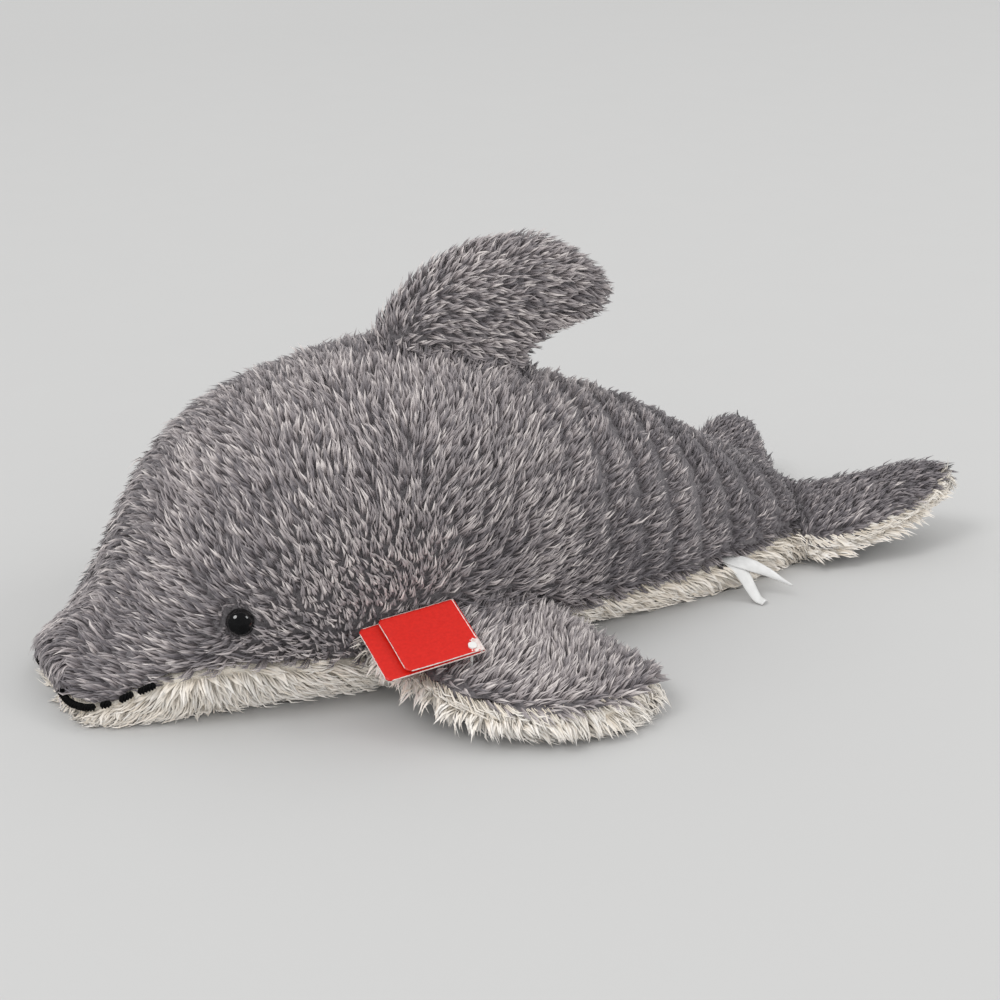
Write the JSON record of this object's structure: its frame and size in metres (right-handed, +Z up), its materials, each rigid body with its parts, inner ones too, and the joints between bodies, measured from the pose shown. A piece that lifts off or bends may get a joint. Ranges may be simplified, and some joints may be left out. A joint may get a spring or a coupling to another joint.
{
  "type": "plush dolphin",
  "caption": "Large floppy plush dolphin lying on its belly, with long grey pile on the back, white pile below, glossy eyes, a stitched mouth and a folded card tag.",
  "frame": {"origin": "on the floor, under the middle of the whole toy's box", "axes": "+Z up, the nose points to -X and the tail to +X, the dolphin's left side is towards -Y"},
  "size_m": [0.6622, 0.432, 0.2551],
  "materials": {
    "grey_plush": "long soft pile, grey with paler tips",
    "white_plush": "long soft pile, off-white",
    "eye_plastic": "polished black",
    "washer_plastic": "moulded, natural white",
    "black_yarn": "soft spun yarn",
    "red_card": "printed coated card",
    "clear_nylon": "natural nylon",
    "satin_ribbon": "white satin"
  },
  "bodies": {
    "root": {"body_back": "grey_plush", "belly": "white_plush", "dorsal_fin": "grey_plush", "flipper_left_top": "grey_plush", "flipper_left_underside": "white_plush", "flipper_right_top": "grey_plush", "flipper_right_underside": "white_plush", "fluke_top": "grey_plush", "fluke_underside": "white_plush", "eye_left": "eye_plastic", "eye_right": "eye_plastic", "eye_washer_left": "washer_plastic", "eye_washer_right": "washer_plastic", "mouth_stitch_left_1": "black_yarn", "mouth_stitch_left_2": "black_yarn", "mouth_stitch_left_3": "black_yarn", "mouth_stitch_left_4": "black_yarn", "mouth_stitch_right_1": "black_yarn", "mouth_stitch_right_2": "black_yarn", "mouth_stitch_right_3": "black_yarn", "mouth_stitch_right_4": "black_yarn", "hang_tag": "red_card", "tag_fastener": "clear_nylon", "seam_label_lower": "satin_ribbon", "seam_label_upper": "satin_ribbon"}
  },
  "joints": []
}
